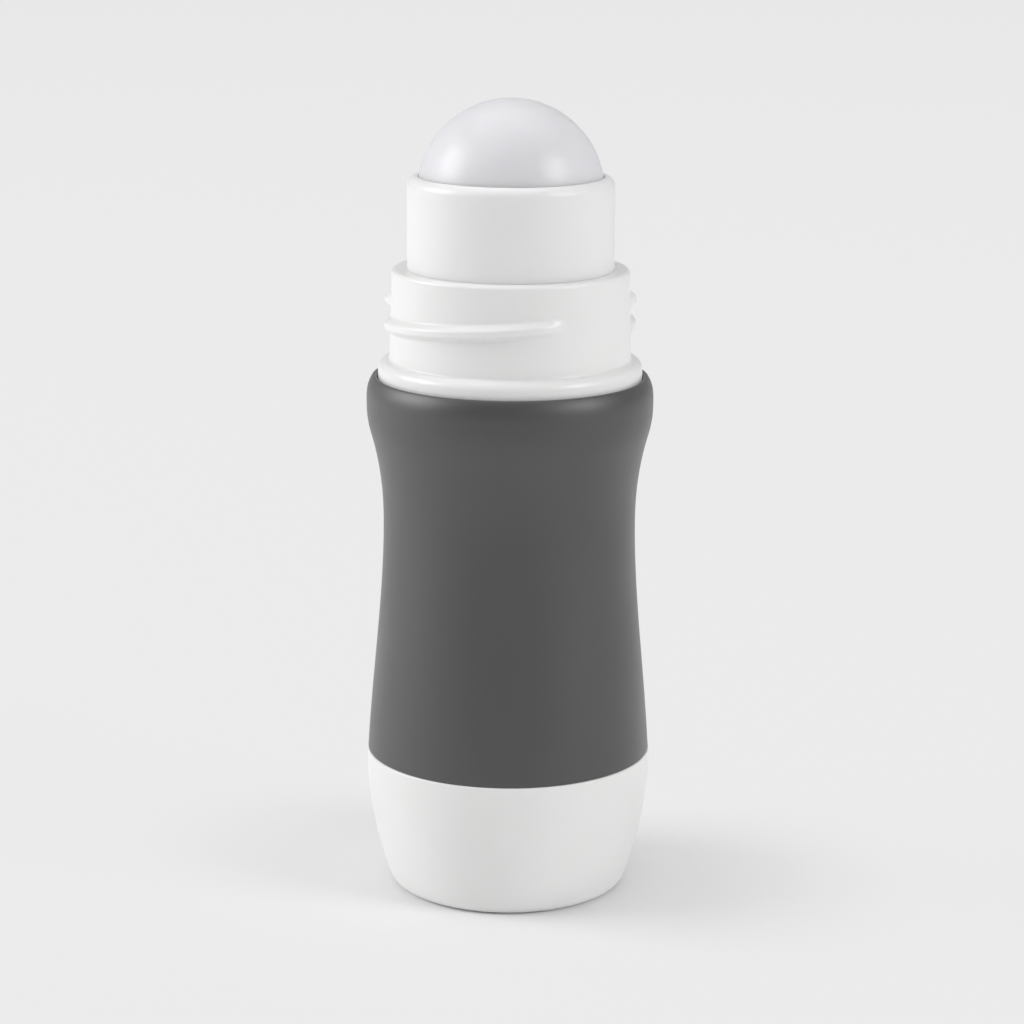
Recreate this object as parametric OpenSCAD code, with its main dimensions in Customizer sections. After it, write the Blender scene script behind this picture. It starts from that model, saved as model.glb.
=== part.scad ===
// Roll-on bottle: a waisted bottle with a soft grip sleeve, and a ball that turns in a pressed-in housing.
// Millimetres, +Z up. The origin is the centre of the foot, on the surface that the bottle stands on.

/* [Ball] */
// Diameter of the rolling ball
ball_d = 25.4; // [20:0.2:36]
// Wall of the hollow ball
ball_wall = 1.2; // [0.8:0.1:3]
// Running clearance all round the ball
ball_clear = 0.12; // [0.05:0.01:0.3]
// Height of the ball's centre above the neck's rim
ball_stand = 10.3; // [6.5:0.1:12]

/* [Ball housing] */
// Wall of the collar beside the ball's equator
collar_wall = 1.28; // [1:0.02:2.4]
// Height of the retaining lip above the ball's centre
lip_rise = 2.3; // [1.8:0.05:4.5]
// Rounding of the lip's outer edge
lip_round = 1.4; // [0.4:0.1:2]
// Wall of the cup that carries the ball
cup_wall = 1.1; // [0.8:0.1:1.8]
// Radius of the opening in the bottom of the cup
cup_hole_r = 6; // [3.5:0.1:7.5]
// Height of the flat ring round that opening
cup_ring_h = 0.6; // [0.2:0.1:1]
// Number of feed slots in the bottom of the cup
feed_slots = 4; // [2:1:8]
// Width of one feed slot
feed_slot_w = 2.4; // [1:0.1:3]
// Length of a feed slot, outwards from the opening
feed_slot_l = 3.4; // [1:0.1:4]
// Wall of the skirt inside the neck
skirt_wall = 1; // [0.7:0.05:1.6]
// Depth that the skirt reaches into the neck
skirt_depth = 12.2; // [9:0.1:13.5]
// How much slimmer the skirt is than the collar, in radius
skirt_step = 0.7; // [0.6:0.01:0.8]
// Height of the collar's lower edge above the neck's rim
collar_lift = 0.05; // [0.05:0.01:0.3]
// Chamfer that leads the skirt into the neck
lead_in = 0.4; // [0.1:0.05:0.6]
// Number of sealing ribs round the skirt
seal_ribs = 3; // [1:1:4]
// Distance from one sealing rib to the next
rib_pitch = 1.9; // [1.5:0.1:2.2]
// Radius of a sealing rib's rounded crest
rib_round = 0.5; // [0.3:0.05:0.6]
// Clearance of the ribs in the neck's bore
rib_clear = 0.05; // [0.02:0.01:0.15]

/* [Neck] */
// Gap between the skirt and the neck's bore
bore_gap = 0.4; // [0.3:0.01:0.44]
// Gap between the skirt and the wider mouth of the neck, less than the skirt's step
mouth_gap = 0.5; // [0.46:0.01:0.55]
// Depth of the wider mouth below the rim
mouth_depth = 2.4; // [1.5:0.1:3.2]
// Wall of the neck at its rim
neck_wall = 2.4; // [1.9:0.05:3.2]
// Height of the neck from the shoulder to the rim
neck_h = 12.5; // [12:0.1:16]
// How much wider the neck is at its foot than at its rim, in radius
neck_draft = 0.35; // [0:0.05:0.8]
// Rounding of the rim's outer edge
rim_round = 0.5; // [0.2:0.05:0.6]
// Rounding of the rim's inner edge
mouth_round = 0.2; // [0.1:0.05:0.5]
// Height of the stop ledge that the skirt stands on
ledge_t = 1.2; // [0.8:0.1:2]

/* [Thread] */
// Number of thread starts
thread_starts = 2; // [1:1:2]
// Rise of the thread in one full turn
thread_lead = 7; // [3:0.1:7]
// How far the thread's crest stands out from the rim's outer radius
thread_h = 1.05; // [0.6:0.05:1.4]
// Width of the thread at the neck wall
thread_foot_w = 2.3; // [1.2:0.1:2.4]
// Width of the thread's crest
thread_crest_w = 0.9; // [0.4:0.1:1.1]
// Depth of the middle of each long stretch below the rim
thread_drop = 6.7; // [6:0.1:7.6]
// Angle that each long stretch spans
long_span = 128; // [90:1:128]
// Angle of the plain channel after each long stretch
channel_span = 52; // [30:1:52]
// Angle that the short stretch above each start spans
short_span = 25; // [20:1:30]
// Angle at which the thread fades into the neck wall
fade_angle = 14; // [10:1:20]
// Direction of the middle of the first long stretch
thread_turn = -126; // [-180:1:180]

/* [Shoulder and grip sleeve] */
// How far the shoulder stands out from the neck's foot
shoulder_step = 1.55; // [1.2:0.05:3]
// Rounding of the shoulder's outer edge
shoulder_round = 1.15; // [0.4:0.05:1.15]
// Height of the shoulder above the sleeve's top edge
shoulder_rise = 2.2; // [1.6:0.1:4]
// How far the sleeve's widest line stands out from the shoulder
crown_step = 1.58; // [1.3:0.02:3]
// Height from the sleeve's widest line to its top edge
crown_h = 4.2; // [3.5:0.1:7]
// Height from the waist to the sleeve's widest line
flank_h = 16.1; // [12:0.1:24]
// How far the waist draws in from the sleeve's widest line
waist_in = 2.26; // [0.5:0.02:3]
// Height from the sleeve's lower edge to the waist
waist_rise = 32.8; // [20:0.1:60]
// How far the sleeve's lower edge stands out from the waist
foot_flare = 2.28; // [0.5:0.02:4]
// Thickness of the sleeve
sleeve_t = 1.2; // [0.8:0.05:1.25]
// Glue line between the sleeve and the bottle
bond_gap = 0.1; // [0.05:0.01:0.2]
// Radius of the sleeve's rounded top lip
sleeve_lip_r = 0.4; // [0.2:0.05:0.6]
// Height over which the top lip hugs the shoulder
lip_hug = 2; // [1:0.1:2.5]

/* [Base] */
// Height of the base, up to the sleeve's lower edge
base_h = 19.5; // [14:0.1:30]
// How far the base stands out from the sleeve's lower edge
base_proud = 0.15; // [0:0.01:0.3]
// Angle of the base wall from upright at the foot
foot_angle = 20; // [12:0.5:22]
// Rounding between the foot and the base wall
foot_round = 1.7; // [0.6:0.1:2]
// Width of the flat ring that the bottle stands on
foot_w = 1.9; // [1:0.1:3]
// Depth of the hollow under the base
push_up = 3; // [2:0.1:5]
// Rounding of the base's top edge
edge_round = 0.25; // [0.1:0.05:0.4]
// Wall of the bottle's body
wall = 1.1; // [0.8:0.05:1.4]
// Thickness of the bottle's floor
floor_t = 1.4; // [1:0.1:2.5]
// Length of the pinch seam under the floor
seam_l = 20; // [10:1:22]

/* [Hidden] */

// Roundness of every turned surface
$fn = 144;
// Overrun of every cut past the face that it opens
overrun = 0.5;

// Ball, housing and bore, from the inside out
ball_r = ball_d / 2;
seat_r = ball_r + ball_clear;
collar_r = seat_r + collar_wall;
skirt_r = collar_r - skirt_step;
skirt_in_r = skirt_r - skirt_wall;
bore_r = skirt_r + bore_gap;
mouth_r = skirt_r + mouth_gap;
neck_r = bore_r + neck_wall;
neck_foot_r = neck_r + neck_draft;
shoulder_r = neck_foot_r + shoulder_step;

// Sleeve radii, from the shoulder down
crown_r = shoulder_r + crown_step;
waist_r = crown_r - waist_in;
sleeve_foot_r = waist_r + foot_flare;
base_r = sleeve_foot_r + base_proud;

// Heights, from the foot up
waist_z = base_h + waist_rise;
crown_z = waist_z + flank_h;
sleeve_top = crown_z + crown_h;
shoulder_z = sleeve_top + shoulder_rise;
neck_top = shoulder_z + neck_h;
ball_z = neck_top + ball_stand;
lip_z = ball_z + lip_rise;
ledge_z = neck_top - skirt_depth;

// Slopes of the sleeve's side, as radius gained for each height gained
foot_slope_share = -0.055;
flare_slope_share = 0.294;
edge_slope_share = -0.68;
// Place of the steepest part of the flank, between the waist and the widest line
flare_height_share = 0.762;
flare_radius_share = 0.739;

// Stations of the sleeve's side: height, radius, slope
lip_tilt = atan(-edge_slope_share);
lip_c_r = shoulder_r + bond_gap + sleeve_lip_r;
lip_c_z = sleeve_top - sleeve_lip_r;
flare_z = waist_z + flare_height_share * flank_h;
flare_r = waist_r + flare_radius_share * waist_in;
foot_station = [base_h, sleeve_foot_r, foot_slope_share];
waist_station = [waist_z, waist_r, 0];
flare_station = [flare_z, flare_r, flare_slope_share];
crown_station = [crown_z, crown_r, 0];
edge_station = [
    lip_c_z + sleeve_lip_r * sin(lip_tilt),
    lip_c_r + sleeve_lip_r * cos(lip_tilt),
    edge_slope_share
];
// The lip's inner face, where it starts to hug the shoulder
hug_station = [sleeve_top - lip_hug, shoulder_r + bond_gap, 0];

// Base wall: one arc, upright at the top, that draws in to the foot
base_arc_z = base_h - edge_round;
base_arc_r = (base_arc_z - foot_round * (1 - sin(foot_angle))) / sin(foot_angle);
base_arc_c = base_r - base_arc_r;
foot_c = base_arc_c + (base_arc_r - foot_round) * cos(foot_angle);
foot_in_r = foot_c - foot_w;

// Hollow under the base
push_r_share = 0.92;
push_edge_share = 0.8;
push_r = push_r_share * foot_in_r;
push_edge_z = push_edge_share * push_up;
// Height of the cavity's step behind the sleeve's lower edge
cavity_step = 3;
// Rounding of the cavity at the floor
cavity_round = 3;
// Radius by which the root of the shoulder is filled
root_round = shoulder_step - shoulder_round;

// Width of the pinch seam, and the register notch in the foot
seam_w = 0.8;
notch_w = 3;
notch_h = 1;

// How deep the thread's root sits in the neck wall
thread_sink = 0.6;
thread_r = neck_r + thread_h;
thread_mid_z = neck_top - thread_drop;
// Widening of the thread towards the wall, for each length inwards, and its width at the sunk root
thread_taper = (thread_foot_w - thread_crest_w) / (thread_h - neck_draft / 2);
thread_root_w = thread_crest_w + thread_taper * (thread_h + thread_sink);
short_turn = long_span / 2 + channel_span + short_span / 2;

// Steps in which the curved outlines are drawn
side_steps = 12;
short_steps = 5;
arc_steps = 6;
sphere_steps = 16;

// Point at share t of the curve between two stations [height, radius, slope], as [radius, height]
function on_curve(a, b, t) = let (h = b[0] - a[0]) [
    (2 * t ^ 3 - 3 * t ^ 2 + 1) * a[1] + (3 * t ^ 2 - 2 * t ^ 3) * b[1]
        + (t ^ 3 - 2 * t ^ 2 + t) * h * a[2] + (t ^ 3 - t ^ 2) * h * b[2],
    a[0] + h * t
];

// Curve between two stations, with both ends
function curve(a, b, steps) = [for (i = [0:steps]) on_curve(a, b, i / steps)];

// Arc round the centre [c_r, c_z]
function arc(c_r, c_z, r, from, to, steps) = [
    for (i = [0:steps]) let (a = from + (to - from) * i / steps) [c_r + r * cos(a), c_z + r * sin(a)]
];

// Quarter of an ellipse: upright at [r_low, z_low], level at [r_high, z_high]
function vault(r_low, z_low, r_high, z_high, steps) = [
    for (i = [0:steps]) let (a = 90 * i / steps) [
        r_high + (r_low - r_high) * cos(a),
        z_low + (z_high - z_low) * sin(a)
    ]
];

// The same points in the other order
function turned(points) = [for (i = [len(points) - 1:-1:0]) points[i]];

// Points without the first one, where it repeats the last point of the stretch before
function after_first(points) = [for (i = [1:len(points) - 1]) points[i]];

// A station moved inwards
function inset(station, by) = [station[0], station[1] - by, station[2]];

// The sleeve's side moved inwards by a depth, from its lower edge up to where it hugs the shoulder
function side(depth, hug) = concat(
    curve(inset(foot_station, depth), inset(waist_station, depth), side_steps),
    after_first(curve(inset(waist_station, depth), inset(flare_station, depth), side_steps / 2)),
    after_first(curve(inset(flare_station, depth), inset(crown_station, depth), short_steps)),
    after_first(curve(inset(crown_station, depth), inset(hug_station, hug), short_steps))
);

// Outside of the bottle, from the middle of the hollow under it up to the rim's inner edge
function bottle_outside() = concat(
    [[0, push_up], [push_r, push_edge_z], [foot_in_r, 0]],
    arc(foot_c, foot_round, foot_round, -90, -foot_angle, arc_steps),
    after_first(arc(base_arc_c, base_arc_z, base_arc_r, -foot_angle, 0, side_steps)),
    after_first(arc(base_r - edge_round, base_arc_z, edge_round, 0, 90, short_steps)),
    side(sleeve_t + bond_gap, bond_gap),
    arc(shoulder_r - shoulder_round, shoulder_z - shoulder_round, shoulder_round, 0, 90, arc_steps),
    arc(neck_foot_r + root_round, shoulder_z + root_round, root_round, 270, 180, short_steps),
    arc(neck_r - rim_round, neck_top - rim_round, rim_round, 0, 90, short_steps),
    arc(mouth_r + mouth_round, neck_top - mouth_round, mouth_round, 90, 180, short_steps)
);

// Inside of the bottle, from the mouth of the neck down to the middle of the floor
function bottle_inside() = concat(
    [
        [mouth_r, neck_top - mouth_depth],
        [bore_r, neck_top - mouth_depth - (mouth_r - bore_r)],
        [bore_r, ledge_z],
        [skirt_in_r, ledge_z]
    ],
    turned(vault(shoulder_r - wall, sleeve_top - lip_hug, skirt_in_r, ledge_z - ledge_t, arc_steps)),
    after_first(turned(side(sleeve_t + bond_gap + wall, bond_gap + wall))),
    turned(arc(base_arc_c, base_arc_z, base_arc_r - wall, -cavity_foot_angle, -cavity_top_angle, side_steps / 2)),
    after_first(arc(cavity_floor_c, cavity_floor_z, cavity_round, -cavity_foot_angle, -90, arc_steps)),
    [[push_r - cavity_round, push_edge_z + floor_t], [0, push_up + floor_t]]
);

// The cavity's wall arc runs between these two angles
cavity_top_angle = asin((cavity_step - edge_round) / base_arc_r);
cavity_floor_z = push_edge_z + floor_t + cavity_round;
cavity_foot_angle = asin((base_arc_z - cavity_floor_z) / (base_arc_r - wall - cavity_round));
cavity_floor_c = base_arc_c + (base_arc_r - wall - cavity_round) * cos(cavity_foot_angle);

// One stretch of thread, centred on +X at height zero: a flat tilted arc that meets the thread's true rise
// at both ends, with both ends faded into the wall
module thread_stretch(span) {
    half = span / 2;
    rise = thread_lead * half / 360;
    tilt = asin(rise / (neck_r * sin(half)));
    rotate([tilt, 0, 0])
        difference() {
            rotate([0, 0, -half])
                rotate_extrude(angle = span)
                    polygon([
                        [neck_r - thread_sink, -thread_root_w / 2],
                        [thread_r, -thread_crest_w / 2],
                        [thread_r, thread_crest_w / 2],
                        [neck_r - thread_sink, thread_root_w / 2]
                    ]);
            for (side_sign = [-1, 1])
                rotate([0, 0, side_sign * half])
                    translate([neck_r, 0, 0])
                        rotate([0, 0, side_sign * fade_angle])
                            translate([0, -neck_r, -thread_root_w])
                                cube([neck_r, 2 * neck_r, 2 * thread_root_w]);
        }
}

// Bottle: foot, body, shoulder, threaded neck and the cavity inside, in one moulding
module bottle() {
    color("white") {
        difference() {
            rotate_extrude()
                polygon(concat(bottle_outside(), bottle_inside()));
            translate([-notch_w / 2, foot_in_r - notch_h, -overrun])
                cube([notch_w, notch_h + foot_w / 2, overrun + notch_h]);
        }
        for (i = [0:thread_starts - 1])
            rotate([0, 0, thread_turn + i * 360 / thread_starts])
                translate([0, 0, thread_mid_z])
                    thread_stretch(long_span);
        for (i = [0:thread_starts - 1])
            rotate([0, 0, thread_turn + short_turn + i * 360 / thread_starts])
                translate([0, 0, thread_mid_z + thread_lead * short_turn / 360])
                    thread_stretch(short_span);
        translate([-seam_l / 2, -seam_w / 2, push_edge_z])
            cube([seam_l, seam_w, floor_t]);
    }
}

// Grip sleeve: soft moulding that fills the recess round the bottle's waist
module grip_sleeve() {
    color("dimgray")
        rotate_extrude()
            polygon(concat(
                [[sleeve_foot_r, base_h]],
                after_first(curve(foot_station, waist_station, side_steps)),
                after_first(curve(waist_station, flare_station, side_steps / 2)),
                after_first(curve(flare_station, crown_station, short_steps)),
                after_first(curve(crown_station, edge_station, short_steps)),
                after_first(arc(lip_c_r, lip_c_z, sleeve_lip_r, lip_tilt, 180, arc_steps)),
                turned(side(sleeve_t, 0))
            ));
}

// Ball housing: collar with its retaining lip, the cup under the ball, and the skirt with its sealing ribs
module ball_housing() {
    lip_in_r = sqrt(seat_r ^ 2 - lip_rise ^ 2);
    lip_fillet = min(lip_round, collar_r - lip_in_r);
    lip_a = asin(lip_rise / seat_r);
    hole_a = -acos(cup_hole_r / seat_r);
    cup_r = seat_r + cup_wall;
    cup_foot = sqrt(seat_r ^ 2 - cup_hole_r ^ 2) + cup_ring_h;
    cup_foot_a = -asin(cup_foot / cup_r);
    cup_top_a = -acos(skirt_in_r / cup_r);
    color("whitesmoke") {
        difference() {
            rotate_extrude()
                polygon(concat(
                    [
                        [skirt_in_r, ledge_z],
                        [skirt_r - lead_in, ledge_z],
                        [skirt_r, ledge_z + 2 * lead_in],
                        [skirt_r, neck_top + collar_lift],
                        [collar_r, neck_top + collar_lift]
                    ],
                    arc(collar_r - lip_fillet, lip_z - lip_fillet, lip_fillet, 0, 90, arc_steps),
                    arc(0, ball_z, seat_r, lip_a, hole_a, sphere_steps),
                    [[cup_hole_r, ball_z - cup_foot]],
                    arc(0, ball_z, cup_r, cup_foot_a, cup_top_a, sphere_steps / 2)
                ));
            for (i = [0:feed_slots - 1])
                rotate([0, 0, i * 360 / feed_slots])
                    translate([cup_hole_r - overrun, -feed_slot_w / 2, ball_z - cup_r])
                        cube([overrun + feed_slot_l, feed_slot_w, cup_r / 2]);
        }
        for (i = [1:seal_ribs])
            translate([0, 0, ledge_z + i * rib_pitch])
                rotate_extrude()
                    translate([bore_r - rib_clear - rib_round, 0])
                        circle(r = rib_round, $fn = 32);
    }
}

// Roller ball: a hollow ball, free to turn in the housing
module roller_ball() {
    color("lavender")
        translate([0, 0, ball_z])
            difference() {
                sphere(r = ball_r);
                sphere(r = ball_r - ball_wall);
            }
}

bottle();
grip_sleeve();
ball_housing();
roller_ball();
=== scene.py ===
"""Roll-on bottle: a waisted bottle with a soft grip sleeve, a pressed-in housing and a frosted ball."""

import math

import bmesh
import bpy
from mathutils import Matrix, Vector


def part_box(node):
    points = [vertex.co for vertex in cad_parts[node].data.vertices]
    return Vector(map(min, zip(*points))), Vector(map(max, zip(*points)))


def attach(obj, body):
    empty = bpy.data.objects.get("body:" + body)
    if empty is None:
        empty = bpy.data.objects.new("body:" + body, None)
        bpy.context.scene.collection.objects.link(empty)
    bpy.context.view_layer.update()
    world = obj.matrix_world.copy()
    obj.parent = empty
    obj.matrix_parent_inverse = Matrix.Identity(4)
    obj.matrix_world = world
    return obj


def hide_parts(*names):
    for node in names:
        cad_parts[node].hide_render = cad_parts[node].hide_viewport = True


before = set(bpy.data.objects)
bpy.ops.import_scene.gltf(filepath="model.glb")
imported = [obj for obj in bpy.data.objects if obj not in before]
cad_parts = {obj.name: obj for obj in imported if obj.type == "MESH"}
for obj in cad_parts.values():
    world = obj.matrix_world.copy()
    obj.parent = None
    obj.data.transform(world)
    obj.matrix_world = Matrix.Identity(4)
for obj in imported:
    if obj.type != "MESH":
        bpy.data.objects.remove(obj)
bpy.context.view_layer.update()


# Bottle. One blow-moulded piece of white high-density polyethylene, from the
# foot to the threaded neck. It is moulded between two halves that meet in the
# XZ plane, so the pinch seam under the floor lies along X.

MM = 0.001


def height_of(node, corner):
    """Height of the lowest (corner 0) or highest (corner 1) point of a CAD node, to 0.01 mm."""
    return round(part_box(node)[corner].z / MM, 2)


# Heights at which a CAD piece ends, in mm, as are all sizes of the pieces
base_top = height_of("grip_sleeve", 0)
sleeve_top = height_of("grip_sleeve", 1)
ledge_top = height_of("ball_housing", 0)
neck_top = height_of("bottle", 1)

# Base: its wall is one arc, upright at the top, that draws in to the foot
base_r = 19.85
base_edge_round = 0.25
base_foot_angle = 20.0
foot_round = 1.7
foot_ring_width = 1.9
foot_sine = math.sin(math.radians(base_foot_angle))
foot_cosine = math.cos(math.radians(base_foot_angle))
base_arc_z = base_top - base_edge_round
base_arc_r = (base_arc_z - foot_round * (1 - foot_sine)) / foot_sine
base_arc_centre = base_r - base_arc_r
foot_centre = base_arc_centre + (base_arc_r - foot_round) * foot_cosine
foot_ring_in = foot_centre - foot_ring_width

# Hollow under the base: a nearly flat ceiling, an edge rounded between two angles in degrees, and a
# straight flank down to the foot, whose ends lie inwards of the foot ring
hollow_top = 3.0
hollow_width_share = 0.92
hollow_edge_share = 0.8
hollow_edge_r = hollow_width_share * foot_ring_in
hollow_edge_z = hollow_edge_share * hollow_top
ceiling_r = 10.8
ceiling_drop = 0.523
hollow_round = 0.6
hollow_round_drop = 0.55
hollow_round_start = 87
hollow_round_end = 28
flank_top_in = 0.45
flank_top_z = 0.9
flank_foot_in = 0.08
flank_foot_z = 0.12

# Pinch seam across that hollow, and the register notch in the foot
seam_length = 20.0
seam_width = 0.8
seam_soft = 0.25
seam_margin = 0.5
notch_width = 3.0
notch_height = 1.0

# The side that the sleeve follows, as stations of height, radius and slope
sleeve_thickness = 1.2
glue_line = 0.1
shoulder_r = 18.1
crown_r = 19.68
waist_r = 17.42
sleeve_foot_r = 19.7
waist_rise = 32.8
crown_drop = 4.2
hug_drop = 2.0
flare_height_share = 0.762
flare_radius_share = 0.739
foot_slope = -0.055
flare_slope = 0.294
waist_z = base_top + waist_rise
crown_z = sleeve_top - crown_drop
hug_z = sleeve_top - hug_drop
flare_z = waist_z + flare_height_share * (crown_z - waist_z)
flare_r = waist_r + flare_radius_share * (crown_r - waist_r)
side_foot = (base_top, sleeve_foot_r, foot_slope)
side_waist = (waist_z, waist_r, 0.0)
side_flare = (flare_z, flare_r, flare_slope)
side_crown = (crown_z, crown_r, 0.0)
side_top = (hug_z, shoulder_r, 0.0)

# Shoulder and neck
shoulder_rise = 2.2
shoulder_top = sleeve_top + shoulder_rise
shoulder_round = 1.15
shoulder_root = 0.4
neck_foot_r = 16.55
neck_r = 16.2
rim_round = 0.5
mouth_round = 0.2
mouth_r = 13.9
mouth_depth = 2.4
bore_r = 13.8
ledge_r = 12.4
ledge_height = 1.2
ledge_bottom = ledge_top - ledge_height
ledge_chamfer = 0.2

# Inside of the body: the step behind the sleeve's lower edge, and the rounding into the floor
body_wall = 1.1
floor_thickness = 1.4
cavity_step = 3.0
cavity_round = 3.0
inner_floor_r = 8.4
inner_floor_rise = 0.2
cavity_arc_r = base_arc_r - body_wall
cavity_centre_z = hollow_edge_z + floor_thickness + cavity_round
cavity_top_angle = math.degrees(math.asin((cavity_step - base_edge_round) / base_arc_r))
cavity_angle = math.degrees(math.asin((base_arc_z - cavity_centre_z) / (cavity_arc_r - cavity_round)))
cavity_centre_r = base_arc_centre + (cavity_arc_r - cavity_round) * math.cos(math.radians(cavity_angle))

# Thread: two starts, each a long stretch and a short one above the other start; angles in degrees
thread_starts = 2
thread_crest_r = 17.25
thread_lead = 7.0
thread_drop = 6.7
thread_mid_z = neck_top - thread_drop
thread_half_foot = 1.27
thread_half_crest = 0.3
thread_turn = -126.0
long_span = 128.0
channel_span = 52.0
short_span = 25.0
fade_angle = 15.0
short_turn = long_span / 2 + channel_span + short_span / 2

# Steps of the mesh: fine on the ceiling and the neck, where the seam and the thread are raised
ceiling_steps = 27
flank_steps = 3
edge_steps = 5
foot_steps = 8
base_steps = 30
side_steps = 8
shoulder_steps = 10
root_steps = 6
neck_steps = 92
rim_steps = 7
vault_steps = 6
cavity_steps = 8
inner_floor_steps = 3
bottle_turn_steps = 192

# Outline points closer than this many mm are one point, and vertices closer than this many metres are one
point_gap = 1e-4
weld_gap = 1e-6
# Reach, in mm, within which a vertex counts as part of a surface
near = 0.01


def smooth_step(x):
    """0 up to x = 0, 1 from x = 1 on, and an S curve between."""
    x = min(1.0, max(0.0, x))
    return x * x * (3 - 2 * x)


def curve(a, b, steps):
    """Side curve between two stations (height, radius, slope), as (radius, height) points."""
    rise = b[0] - a[0]
    points = []
    for i in range(steps + 1):
        t = i / steps
        radius = (2 * t**3 - 3 * t**2 + 1) * a[1] + (3 * t**2 - 2 * t**3) * b[1]
        radius += (t**3 - 2 * t**2 + t) * rise * a[2] + (t**3 - t**2) * rise * b[2]
        points.append((radius, a[0] + rise * t))
    return points


def inset(station, depth):
    """A station of the side, moved inwards."""
    return station[0], station[1] - depth, station[2]


def side(depth, top_depth, steps):
    """The side from the foot of the sleeve to its top lip, moved inwards by a depth."""
    points = curve(inset(side_foot, depth), inset(side_waist, depth), 2 * steps)
    points += curve(inset(side_waist, depth), inset(side_flare, depth), steps)
    points += curve(inset(side_flare, depth), inset(side_crown, depth), steps // 2)
    points += curve(inset(side_crown, depth), inset(side_top, top_depth), steps // 2)
    return points


def arc(centre_r, centre_z, radius, start, end, steps):
    """Points of an arc, with its angles in degrees."""
    angles = [math.radians(start + (end - start) * i / steps) for i in range(steps + 1)]
    return [(centre_r + radius * math.cos(a), centre_z + radius * math.sin(a)) for a in angles]


def line(start, end, steps):
    """Evenly spaced points from start to end."""
    return [
        (start[0] + (end[0] - start[0]) * i / steps, start[1] + (end[1] - start[1]) * i / steps)
        for i in range(steps + 1)
    ]


def spin_profile(points, steps, closed):
    """A bmesh turned about Z from a profile of (radius, height) points in mm, in metres."""
    bm = bmesh.new()
    kept = [points[0]]
    for point in points[1:]:
        if math.dist(point, kept[-1]) > point_gap:
            kept.append(point)
    verts = [bm.verts.new((r * MM, 0.0, z * MM)) for r, z in kept]
    edges = [bm.edges.new(pair) for pair in zip(verts, verts[1:])]
    if closed:
        edges.append(bm.edges.new((verts[-1], verts[0])))
    bmesh.ops.spin(
        bm, geom=verts + edges, cent=(0, 0, 0), axis=(0, 0, 1), dvec=(0, 0, 0),
        angle=math.tau, steps=steps, use_merge=True, use_duplicate=False,
    )
    bmesh.ops.remove_doubles(bm, verts=bm.verts, dist=weld_gap)
    bmesh.ops.recalc_face_normals(bm, faces=bm.faces)
    return bm


def piece_from(bm, name, crease=35):
    """A smooth-shaded object from a bmesh, with edges sharper than the crease angle kept sharp."""
    for face in bm.faces:
        face.smooth = True
    for edge in bm.edges:
        edge.smooth = edge.calc_face_angle(0) < math.radians(crease)
    mesh = bpy.data.meshes.new(name)
    bm.to_mesh(mesh)
    bm.free()
    piece = bpy.data.objects.new(name, mesh)
    bpy.context.scene.collection.objects.link(piece)
    return piece


def bottle_outside():
    """Outside of the bottle, from the middle of its underside up to the rim's inner edge."""
    points = line((0, hollow_top), (ceiling_r, hollow_top - ceiling_drop), ceiling_steps)
    points += arc(
        hollow_edge_r - hollow_round, hollow_edge_z - hollow_round_drop, hollow_round,
        hollow_round_start, hollow_round_end, edge_steps,
    )
    points += line(
        (foot_ring_in - flank_top_in, flank_top_z), (foot_ring_in - flank_foot_in, flank_foot_z), flank_steps
    )
    points += line((foot_ring_in, 0), (foot_centre, 0), foot_steps)
    points += arc(foot_centre, foot_round, foot_round, -90, -base_foot_angle, foot_steps)
    points += arc(base_arc_centre, base_arc_z, base_arc_r, -base_foot_angle, 0, base_steps)
    points += arc(base_r - base_edge_round, base_arc_z, base_edge_round, 0, 90, edge_steps)
    points += side(sleeve_thickness + glue_line, 0, side_steps)
    points += arc(
        shoulder_r - shoulder_round, shoulder_top - shoulder_round, shoulder_round, 0, 90, shoulder_steps
    )
    points += arc(
        neck_foot_r + shoulder_root, shoulder_top + shoulder_root, shoulder_root, 270, 180, root_steps
    )
    points += line((neck_foot_r, shoulder_top + shoulder_root), (neck_r, neck_top - rim_round), neck_steps)
    points += arc(neck_r - rim_round, neck_top - rim_round, rim_round, 0, 90, rim_steps)
    points += arc(mouth_r + mouth_round, neck_top - mouth_round, mouth_round, 90, 180, edge_steps)
    return points


def bottle_inside():
    """Inside of the bottle, from the neck's mouth down to the middle of its floor."""
    points = [
        (mouth_r, neck_top - mouth_depth),
        (bore_r, neck_top - mouth_depth - (mouth_r - bore_r)),
        (bore_r, ledge_top + ledge_chamfer),
        (bore_r - ledge_chamfer, ledge_top),
        (ledge_r, ledge_top),
    ]
    vault_width = shoulder_r - body_wall - ledge_r
    vault_height = ledge_bottom - hug_z
    for i in range(vault_steps + 1):
        angle = math.radians(90 - 90 * i / vault_steps)
        points.append((ledge_r + vault_width * math.cos(angle), hug_z + vault_height * math.sin(angle)))
    points += side(sleeve_thickness + glue_line + body_wall, body_wall, side_steps)[::-1]
    points += arc(
        base_arc_centre, base_arc_z, cavity_arc_r, -cavity_top_angle, -cavity_angle, cavity_steps
    )
    points += arc(cavity_centre_r, cavity_centre_z, cavity_round, -cavity_angle, -90, cavity_steps)
    points += line(
        (inner_floor_r, hollow_edge_z + floor_thickness + inner_floor_rise),
        (0, hollow_top + floor_thickness), inner_floor_steps,
    )
    return points


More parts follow.
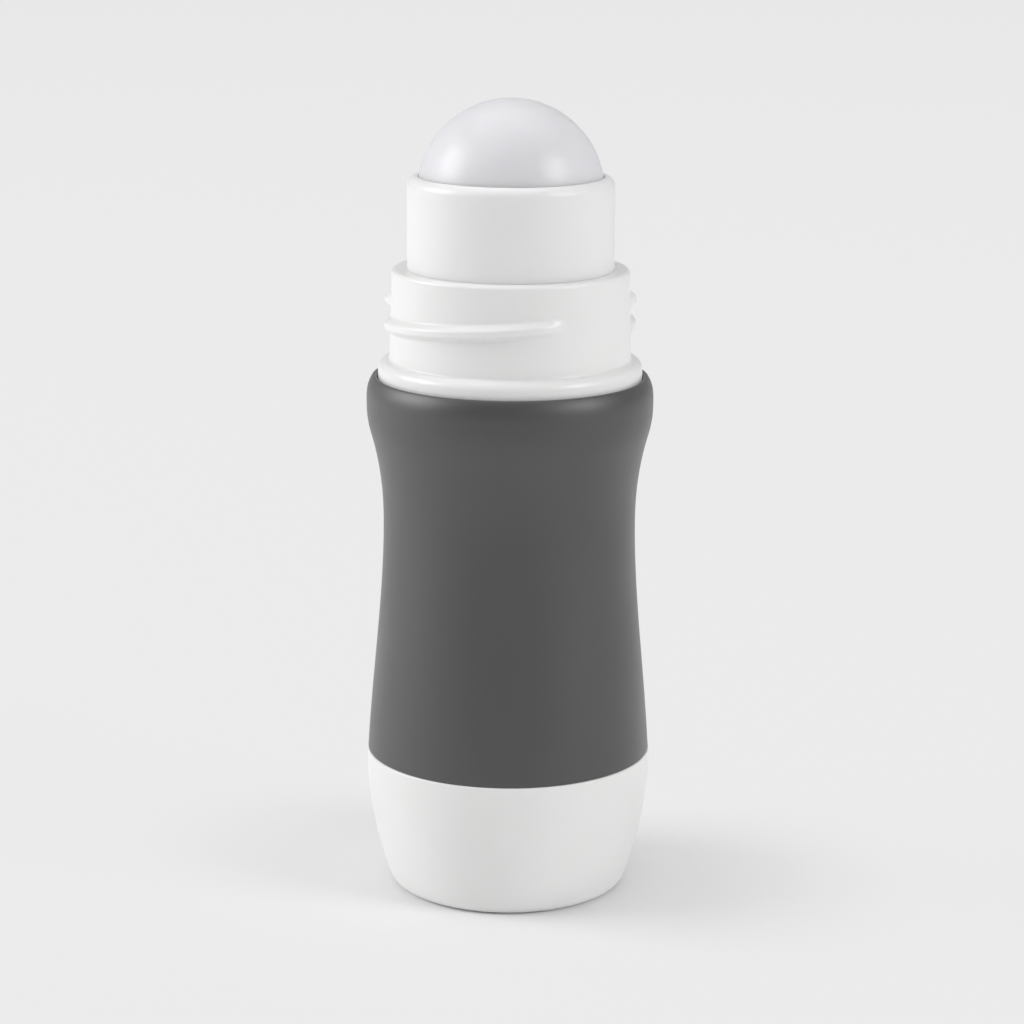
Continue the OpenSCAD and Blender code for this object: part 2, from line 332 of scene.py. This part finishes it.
def thread_relief(angle, z, wall_r):
    """How far the thread stands out of the neck wall at an angle and a height, in mm."""
    relief = 0.0
    for start in range(thread_starts):
        for offset, span in ((0.0, long_span), (short_turn, short_span)):
            middle = thread_turn + start * 360.0 / thread_starts + offset
            turn = (angle - middle + 180.0) % 360.0 - 180.0
            end = (span / 2 - abs(turn)) / fade_angle
            if end <= 0:
                continue
            centre_z = thread_mid_z + thread_lead * (offset + turn) / 360.0
            fade = smooth_step(end)
            crest = thread_half_crest * fade
            across = (thread_half_foot - abs(z - centre_z)) / (thread_half_foot - crest)
            relief = max(relief, (thread_crest_r - wall_r) * fade * smooth_step(across))
    return relief


bottle_bm = spin_profile(bottle_outside() + bottle_inside(), bottle_turn_steps, closed=False)
for vert in bottle_bm.verts:
    x, y, z = (c / MM for c in vert.co)
    r = math.hypot(x, y)
    on_neck = shoulder_top < z < neck_top - rim_round and r > neck_r - near
    on_ceiling = z < hollow_top + near and r < hollow_edge_r - seam_margin
    on_foot_ring = z < notch_height and -notch_height < r - foot_ring_in < foot_ring_width / 2 + near
    if on_neck:
        out = r + thread_relief(math.degrees(math.atan2(y, x)), z, r)
        vert.co.xy = Vector((x, y)) * (out / r) * MM
    elif on_ceiling:
        along = smooth_step((seam_length / 2 + seam_soft - abs(x)) / (2 * seam_soft))
        across = smooth_step((seam_width / 2 + seam_soft / 2 - abs(y)) / seam_soft)
        vert.co.z = (z - (z - hollow_edge_z) * along * across) * MM
    elif on_foot_ring and abs(x) < notch_width / 2 and y > 0:
        vert.co.z = notch_height * MM
bmesh.ops.recalc_face_normals(bottle_bm, faces=bottle_bm.faces)
bottle = piece_from(bottle_bm, "bottle_moulding")


def linear(hex_colour):
    """An sRGB hex colour as linear RGBA."""
    values = [int(hex_colour[i:i + 2], 16) / 255 for i in (0, 2, 4)]
    return [v / 12.92 if v <= 0.04045 else ((v + 0.055) / 1.055) ** 2.4 for v in values] + [1.0]


def add_node(tree, kind, settings=None, links=None):
    """Adds a shader node, sets its properties and sockets, and links other nodes' outputs into it."""
    new = tree.nodes.new(kind)

    def socket(key):
        """The input with that number or name, among those in use."""
        if isinstance(key, int):
            return new.inputs[key]
        return next((s for s in new.inputs if s.enabled and s.name == key), None)

    for key, value in (settings or {}).items():
        if socket(key):
            socket(key).default_value = value
        else:
            setattr(new, key, value)
    for key, output in (links or {}).items():
        tree.links.new(output, socket(key))
    return new


def new_material(name):
    """An empty node material, and its tree."""
    material = bpy.data.materials.new(name)
    material.use_nodes = True
    material.node_tree.nodes.clear()
    return material, material.node_tree


# Moulded polyethylene: waxy white with a soft gloss, a very slight waviness of
# the skin from the cold mould, and a fine parting line at either side.
ripple_size = 7.0 * MM
ripple_height = 0.012 * MM
scuff_size = 2.5 * MM
parting_line_foot = 0.14 * MM
parting_line_crest = 0.02 * MM
parting_line_height = 0.03 * MM

polyethylene, tree = new_material("hdpe_moulded_white")
place = add_node(tree, "ShaderNodeTexCoord").outputs["Object"]
ripple = add_node(
    tree, "ShaderNodeTexNoise", {"Scale": 1 / ripple_size, "Detail": 1.0, "Roughness": 0.4},
    {"Vector": place},
)
scuff = add_node(
    tree, "ShaderNodeTexNoise", {"Scale": 1 / scuff_size, "Detail": 3.0, "Roughness": 0.5},
    {"Vector": place},
)
gloss = add_node(
    tree, "ShaderNodeMapRange",
    {"From Min": 0.3, "From Max": 0.75, "To Min": 0.285, "To Max": 0.33},
    {"Value": scuff.outputs["Fac"]},
)
tone = add_node(
    tree, "ShaderNodeMix",
    {"data_type": "RGBA", "A": linear("E7E7E6"), "B": linear("EAEAEA")},
    {"Factor": ripple.outputs["Fac"]},
)
split = add_node(tree, "ShaderNodeSeparateXYZ", links={"Vector": place})
parting_distance = add_node(
    tree, "ShaderNodeMath", {"operation": "ABSOLUTE"}, {0: split.outputs["Y"]}
)
parting_line = add_node(
    tree, "ShaderNodeMapRange",
    {"interpolation_type": "SMOOTHSTEP", "From Min": parting_line_foot, "From Max": parting_line_crest,
     "To Min": 0.0, "To Max": parting_line_height},
    {"Value": parting_distance.outputs[0]},
)
wave = add_node(
    tree, "ShaderNodeMath", {"operation": "MULTIPLY", 1: ripple_height}, {0: ripple.outputs["Fac"]}
)
skin_height = add_node(
    tree, "ShaderNodeMath", {"operation": "ADD"}, {0: wave.outputs[0], 1: parting_line.outputs[0]}
)
skin_bump = add_node(
    tree, "ShaderNodeBump", {"Strength": 1.0, "Distance": 1.0}, {"Height": skin_height.outputs[0]}
)
shader = add_node(
    tree, "ShaderNodeBsdfPrincipled",
    {"IOR": 1.53, "Subsurface Weight": 0.15, "Subsurface Radius": (1.0, 1.0, 1.0),
     "Subsurface Scale": 0.8 * MM},
    {"Base Color": tone.outputs[2], "Roughness": gloss.outputs[0], "Normal": skin_bump.outputs[0]},
)
add_node(tree, "ShaderNodeOutputMaterial", links={"Surface": shader.outputs[0]})
bottle.data.materials.append(polyethylene)
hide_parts("bottle")
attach(bottle, "bottle")


# Grip sleeve. A soft-touch moulding of dark grey thermoplastic elastomer,
# bonded into the recess round the bottle's waist. Its top lip is rounded over
# against the shoulder and its lower edge lies flush with the base.

sleeve_edge_round = 0.12
sleeve_lip_r = 0.4
lip_slope = -0.68
lip_centre_r = shoulder_r + glue_line + sleeve_lip_r
lip_centre_z = sleeve_top - sleeve_lip_r
lip_tilt = math.atan(-lip_slope)
lip_start = (
    lip_centre_z + sleeve_lip_r * math.sin(lip_tilt),
    lip_centre_r + sleeve_lip_r * math.cos(lip_tilt),
    lip_slope,
)
sleeve_edge_steps = 4
sleeve_foot_steps = 48
sleeve_flare_steps = 20
sleeve_crown_steps = 10
sleeve_lip_steps = 12
turn_steps = 144

sleeve_points = arc(
    sleeve_foot_r - sleeve_edge_round, base_top + sleeve_edge_round, sleeve_edge_round,
    -90, 0, sleeve_edge_steps,
)
sleeve_points += curve(side_foot, side_waist, sleeve_foot_steps)[1:]
sleeve_points += curve(side_waist, side_flare, sleeve_flare_steps)
sleeve_points += curve(side_flare, side_crown, sleeve_crown_steps)
sleeve_points += curve(side_crown, lip_start, sleeve_lip_steps)
sleeve_points += arc(
    lip_centre_r, lip_centre_z, sleeve_lip_r, math.degrees(lip_tilt), 180, sleeve_lip_steps
)
sleeve_points += side(sleeve_thickness, 0, side_steps)[::-1]
sleeve = piece_from(spin_profile(sleeve_points, turn_steps, closed=True), "grip_skin")

# Elastomer off an etched mould: a neutral dark grey with a fine even grain
# under a wide soft gloss, and a faint cloudiness where hands have polished it.
# The etched grain is about 0.05 mm; it is drawn at 0.22 mm so that it shows.
grain_size = 0.22 * MM
grain_height = 0.03 * MM
cloud_size = 16.0 * MM

elastomer, tree = new_material("tpe_soft_touch_grey")
place = add_node(tree, "ShaderNodeTexCoord").outputs["Object"]
grain = add_node(
    tree, "ShaderNodeTexNoise", {"Scale": 1 / grain_size, "Detail": 3.0, "Roughness": 0.6},
    {"Vector": place},
)
cloud = add_node(
    tree, "ShaderNodeTexNoise", {"Scale": 1 / cloud_size, "Detail": 3.0, "Roughness": 0.55},
    {"Vector": place},
)
tone = add_node(
    tree, "ShaderNodeMix", {"data_type": "RGBA", "A": linear("2D2D2D"), "B": linear("323232")},
    {"Factor": cloud.outputs["Fac"]},
)
polish = add_node(
    tree, "ShaderNodeMapRange",
    {"From Min": 0.3, "From Max": 0.7, "To Min": 0.43, "To Max": 0.53},
    {"Value": cloud.outputs["Fac"]},
)
grain_bump = add_node(
    tree, "ShaderNodeBump", {"Strength": 0.35, "Distance": grain_height}, {"Height": grain.outputs["Fac"]}
)
shader = add_node(
    tree, "ShaderNodeBsdfPrincipled",
    {"IOR": 1.5, "Specular IOR Level": 1.0, "Sheen Weight": 0.2, "Sheen Roughness": 0.5},
    {"Base Color": tone.outputs[2], "Roughness": polish.outputs[0], "Normal": grain_bump.outputs[0]},
)
add_node(tree, "ShaderNodeOutputMaterial", links={"Surface": shader.outputs[0]})
sleeve.data.materials.append(elastomer)
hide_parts("grip_sleeve")
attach(sleeve, "bottle")


# Ball housing. One injection moulding of white polypropylene: the collar with
# its springy retaining lip, the cup with four feed slots under the ball, and
# the skirt with three sealing ribs that is pushed into the bottle's bore.

# Ball, seat and cup
ball_bottom = height_of("roller_ball", 0)
ball_top = height_of("roller_ball", 1)
ball_r = (ball_top - ball_bottom) / 2
ball_centre_z = (ball_top + ball_bottom) / 2
ball_clearance = 0.12
seat_r = ball_r + ball_clearance
cup_wall = 1.1
cup_r = seat_r + cup_wall
cup_hole_r = 6.0
cup_ring = 0.6

# Collar: its lower edge stands a hair above the neck's rim. Its lip is rounded up to an angle, and the
# seat starts a little below the lip's tip, both in degrees
collar_r = 14.1
collar_lift = 0.01
collar_ring_rise = 0.4
lip_z = height_of("ball_housing", 1)
lip_round = 1.4
lip_round_end = 82
lip_ease = 0.3

# Skirt with its ribs; its bore is as wide as the opening in the bottle's ledge
skirt_r = 13.4
skirt_inner_r = ledge_r
lead_in = 0.4
rib_count = 3
rib_round = 0.5
rib_pitch = 1.9
rib_clearance = 0.05
rib_centre_r = bore_r - rib_clearance - rib_round

# Feed slots: each pair is one cut right across the cup
slot_pairs = 2
slot_width = 2.4
slot_length = 3.4

lip_angle = math.degrees(math.asin((lip_z - ball_centre_z) / seat_r))
hole_angle = -math.degrees(math.acos(cup_hole_r / seat_r))
cup_foot_z = ball_centre_z - math.sqrt(seat_r**2 - cup_hole_r**2) - cup_ring
cup_foot_angle = -math.degrees(math.asin((ball_centre_z - cup_foot_z) / cup_r))
cup_root_angle = -math.degrees(math.acos(skirt_inner_r / cup_r))
rib_reach = math.degrees(math.acos((skirt_r - rib_centre_r) / rib_round))
rib_steps = 8
collar_steps = 12
seat_steps = 48
cup_steps = 20

housing_points = [(skirt_inner_r, ledge_top), (skirt_r - lead_in, ledge_top)]
housing_points += [(skirt_r, ledge_top + 2 * lead_in)]
for rib in range(1, rib_count + 1):
    housing_points += arc(
        rib_centre_r, ledge_top + rib * rib_pitch, rib_round, -rib_reach, rib_reach, rib_steps
    )
housing_points += [(skirt_r, neck_top + collar_lift), (collar_r, neck_top + collar_lift)]
housing_points += line(
    (collar_r, neck_top + collar_ring_rise), (collar_r, lip_z - lip_round), collar_steps
)
housing_points += arc(
    collar_r - lip_round, lip_z - lip_round, lip_round, 0, lip_round_end, collar_steps
)
housing_points += arc(0, ball_centre_z, seat_r, lip_angle - lip_ease, hole_angle, seat_steps)
housing_points += [(cup_hole_r, cup_foot_z)]
housing_points += arc(0, ball_centre_z, cup_r, cup_foot_angle, cup_root_angle, cup_steps)
housing = piece_from(spin_profile(housing_points, turn_steps, closed=True), "housing_moulding")

# The feed slots are cut outwards from the opening in the bottom of the cup.
slot_bm = bmesh.new()
slot_reach = cup_hole_r + slot_length
slot_depth = cup_r / 2
for turn in range(slot_pairs):
    block = bmesh.ops.create_cube(slot_bm, size=1.0)["verts"]
    bmesh.ops.scale(slot_bm, verts=block, vec=(2 * slot_reach * MM, slot_width * MM, slot_depth * MM))
    bmesh.ops.translate(
        slot_bm, verts=block, vec=(0, 0, (ball_centre_z - cup_r + slot_depth / 2) * MM)
    )
    bmesh.ops.rotate(
        slot_bm, verts=block, cent=(0, 0, 0), matrix=Matrix.Rotation(turn * math.pi / slot_pairs, 3, "Z")
    )
slots = piece_from(slot_bm, "slot_cutter")
cut = housing.modifiers.new("feed_slots", "BOOLEAN")
cut.object = slots
cut.operation = "DIFFERENCE"
cut.solver = "EXACT"
cut.use_self = True
bpy.context.view_layer.update()
cut_mesh = bpy.data.meshes.new_from_object(housing.evaluated_get(bpy.context.evaluated_depsgraph_get()))
cut_bm = bmesh.new()
cut_bm.from_mesh(cut_mesh)
bmesh.ops.remove_doubles(cut_bm, verts=cut_bm.verts, dist=weld_gap)
bpy.data.objects.remove(slots)
bpy.data.objects.remove(housing)
housing = piece_from(cut_bm, "housing_moulding")

# Polypropylene off a finely polished mould: more satin than the bottle, with
# faint flow marks, and slightly translucent at the thin lip.
flow_size = 3.2 * MM
flow_height = 0.02 * MM

polypropylene, tree = new_material("polypropylene_satin_white")
place = add_node(tree, "ShaderNodeTexCoord").outputs["Object"]
flow = add_node(
    tree, "ShaderNodeTexNoise", {"Scale": 1 / flow_size, "Detail": 4.0, "Roughness": 0.6},
    {"Vector": place},
)
tone = add_node(
    tree, "ShaderNodeMix", {"data_type": "RGBA", "A": linear("E7E7E7"), "B": linear("EAEAEA")},
    {"Factor": flow.outputs["Fac"]},
)
satin = add_node(
    tree, "ShaderNodeMapRange",
    {"From Min": 0.3, "From Max": 0.7, "To Min": 0.3, "To Max": 0.4},
    {"Value": flow.outputs["Fac"]},
)
flow_bump = add_node(
    tree, "ShaderNodeBump", {"Strength": 0.5, "Distance": flow_height}, {"Height": flow.outputs["Fac"]}
)
shader = add_node(
    tree, "ShaderNodeBsdfPrincipled",
    {"IOR": 1.49, "Subsurface Weight": 0.25, "Subsurface Radius": (1.0, 1.0, 1.0),
     "Subsurface Scale": 1.0 * MM},
    {"Base Color": tone.outputs[2], "Roughness": satin.outputs[0], "Normal": flow_bump.outputs[0]},
)
add_node(tree, "ShaderNodeOutputMaterial", links={"Surface": shader.outputs[0]})
housing.data.materials.append(polypropylene)
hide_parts("ball_housing")
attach(housing, "housing")


# Roller ball. Two moulded half shells of natural polypropylene, welded and
# then ground to one true sphere. Grinding frosts it, and a weld bead is left
# inside along the joint.

# Wall, bead and the angle in degrees by which the ball has rolled, so that its weld doesn't lie level
ball_wall = 1.2
bead_r = 0.45
roll_angle = 38
inner_r = ball_r - ball_wall
bead_angle = math.degrees(math.asin(bead_r / inner_r))
ball_steps = 72
inner_steps = 30
bead_steps = 8
inner_turn_steps = 96

ball_bm = spin_profile(arc(0, 0, ball_r, -90, 90, ball_steps), turn_steps, closed=False)
inner_points = arc(0, 0, inner_r, -90, -bead_angle, inner_steps)
inner_points += arc(inner_r, 0, bead_r, 270, 90, bead_steps)
inner_points += arc(0, 0, inner_r, bead_angle, 90, inner_steps)
inner_bm = spin_profile(inner_points, inner_turn_steps, closed=False)
bmesh.ops.reverse_faces(inner_bm, faces=inner_bm.faces)
inner_mesh = bpy.data.meshes.new("ball_inside")
inner_bm.to_mesh(inner_mesh)
inner_bm.free()
ball_bm.from_mesh(inner_mesh)
bpy.data.meshes.remove(inner_mesh)
bmesh.ops.rotate(
    ball_bm, verts=ball_bm.verts, cent=(0, 0, 0), matrix=Matrix.Rotation(math.radians(roll_angle), 3, "X")
)
bmesh.ops.translate(ball_bm, verts=ball_bm.verts, vec=(0, 0, ball_centre_z * MM))
ball = piece_from(ball_bm, "ball_shell")

# Ground polypropylene: milky with a faint lilac cast, frosted so that lights
# show as soft spots, with slow clouds of thicker and thinner wall behind.
# The grinding marks are about 0.03 mm; they are drawn at 0.18 mm to show.
wall_cloud_size = 9.0 * MM
frost_size = 0.18 * MM
frost_height = 0.012 * MM

ground, tree = new_material("polypropylene_ground_natural")
place = add_node(tree, "ShaderNodeTexCoord").outputs["Object"]
cloud = add_node(
    tree, "ShaderNodeTexNoise", {"Scale": 1 / wall_cloud_size, "Detail": 2.0, "Roughness": 0.5},
    {"Vector": place},
)
frost = add_node(
    tree, "ShaderNodeTexNoise", {"Scale": 1 / frost_size, "Detail": 2.0, "Roughness": 0.6},
    {"Vector": place},
)
tone = add_node(
    tree, "ShaderNodeMix", {"data_type": "RGBA", "A": linear("E1E0E7"), "B": linear("E5E4EB")},
    {"Factor": cloud.outputs["Fac"]},
)
frost_bump = add_node(
    tree, "ShaderNodeBump", {"Strength": 0.25, "Distance": frost_height}, {"Height": frost.outputs["Fac"]}
)
shader = add_node(
    tree, "ShaderNodeBsdfPrincipled",
    {"IOR": 1.49, "Roughness": 0.36, "Subsurface Weight": 0.9, "Subsurface Radius": (1.0, 0.97, 1.05),
     "Subsurface Scale": 3.0 * MM},
    {"Base Color": tone.outputs[2], "Normal": frost_bump.outputs[0]},
)
add_node(tree, "ShaderNodeOutputMaterial", links={"Surface": shader.outputs[0]})
ball.data.materials.append(ground)
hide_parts("roller_ball")
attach(ball, "ball")


# Studio, with its sizes in metres. A seamless pale paper floor in an even white
# tent, with a soft box at the left, one at the right, a large one overhead and
# a weak one in front.

# Close to the bottle the paper takes light and shadow; away from it the camera sees the even backdrop.
floor_half = 6.0
shadow_reach = 0.01
backdrop_from = 0.06
backdrop_share = 0.95

floor_bm = bmesh.new()
bmesh.ops.create_grid(floor_bm, x_segments=1, y_segments=1, size=floor_half)
floor = piece_from(floor_bm, "paper_floor")
paper, tree = new_material("seamless_paper")
seen = add_node(tree, "ShaderNodeLightPath")
sheet = add_node(
    tree, "ShaderNodeMix", {"data_type": "RGBA", "A": linear("F0F0F0"), "B": linear("E7E7E7")},
    {"Factor": seen.outputs["Is Camera Ray"]},
)
paper_light = add_node(tree, "ShaderNodeBsdfDiffuse", {"Roughness": 0.0}, {"Color": sheet.outputs[2]})
paper_glow = add_node(tree, "ShaderNodeEmission", {"Color": linear("EBEBEB"), "Strength": 1.0})
place = add_node(tree, "ShaderNodeTexCoord").outputs["Object"]
distance = add_node(tree, "ShaderNodeVectorMath", {"operation": "LENGTH"}, {0: place})
far = add_node(
    tree, "ShaderNodeMapRange",
    {"interpolation_type": "SMOOTHSTEP", "From Min": shadow_reach, "From Max": backdrop_from,
     "To Min": 0.0, "To Max": backdrop_share},
    {"Value": distance.outputs["Value"]},
)
share = add_node(
    tree, "ShaderNodeMath", {"operation": "MULTIPLY"},
    {0: seen.outputs["Is Camera Ray"], 1: far.outputs[0]},
)
shader = add_node(
    tree, "ShaderNodeMixShader",
    links={0: share.outputs[0], 1: paper_light.outputs[0], 2: paper_glow.outputs[0]},
)
add_node(tree, "ShaderNodeOutputMaterial", links={"Surface": shader.outputs[0]})
floor.data.materials.append(paper)

# The tent lights the bottle weakly and shows pale behind it.
tent_light = 0.32
tent_backdrop = 0.83

world = bpy.data.worlds.new("white_tent")
bpy.context.scene.world = world
world.use_nodes = True
world.node_tree.nodes.clear()
looked_at = add_node(world.node_tree, "ShaderNodeLightPath")
room_light = add_node(
    world.node_tree, "ShaderNodeMapRange", {"To Min": tent_light, "To Max": tent_backdrop},
    {"Value": looked_at.outputs["Is Camera Ray"]},
)
tent = add_node(
    world.node_tree, "ShaderNodeBackground", {"Color": linear("FFFFFF")},
    {"Strength": room_light.outputs[0]},
)
add_node(world.node_tree, "ShaderNodeOutputWorld", links={"Surface": tent.outputs[0]})

lamp_aim = Vector((0, 0, 0.06))


def soft_box(name, azimuth, elevation, distance, width, height, power):
    """An area lamp that looks at the middle of the bottle. Azimuth 0 is the camera's side, 90 its right."""
    lamp = bpy.data.lights.new(name, "AREA")
    lamp.shape = "RECTANGLE"
    lamp.size = width
    lamp.size_y = height
    lamp.energy = power
    box = bpy.data.objects.new(name, lamp)
    bpy.context.scene.collection.objects.link(box)
    turn = math.radians(azimuth)
    tilt = math.radians(elevation)
    away = Vector((math.sin(turn) * math.cos(tilt), -math.cos(turn) * math.cos(tilt), math.sin(tilt)))
    facing = away.to_track_quat("Z", "Y").to_matrix().to_4x4()
    box.matrix_world = Matrix.Translation(lamp_aim + away * distance) @ facing


soft_box("left_soft_box", azimuth=-91, elevation=27, distance=1.3, width=0.8, height=0.7, power=10.8)
soft_box("right_soft_box", azimuth=64, elevation=28, distance=2.0, width=0.8, height=0.9, power=16.0)
soft_box("top_soft_box", azimuth=180, elevation=84, distance=1.6, width=1.8, height=1.8, power=11.0)
soft_box("front_soft_box", azimuth=10, elevation=25, distance=2.2, width=1.0, height=1.3, power=1.2)

# Camera: a long lens, fitted to the ellipses of foot, grip and ball; pitch and roll are in degrees.
camera_sensor = 36.0
camera_lens = 105.3
camera_pitch = 13.614
camera_roll = 0.33
camera_distance = 415.36 * MM
camera_aim = Vector((0.365, 0, 53.14)) * MM
clip_near = 0.01
clip_far = 20.0

camera = bpy.data.objects.new("camera", bpy.data.cameras.new("camera"))
bpy.context.scene.collection.objects.link(camera)
camera.data.sensor_width = camera_sensor
camera.data.lens = camera_lens
camera.data.clip_start = clip_near
camera.data.clip_end = clip_far
look = Matrix.Rotation(math.radians(90 - camera_pitch), 4, "X")
look = look @ Matrix.Rotation(math.radians(camera_roll), 4, "Z")
camera.matrix_world = Matrix.Translation(camera_aim) @ look @ Matrix.Translation((0, 0, camera_distance))
bpy.context.scene.camera = camera
bpy.context.scene.view_settings.view_transform = "Standard"
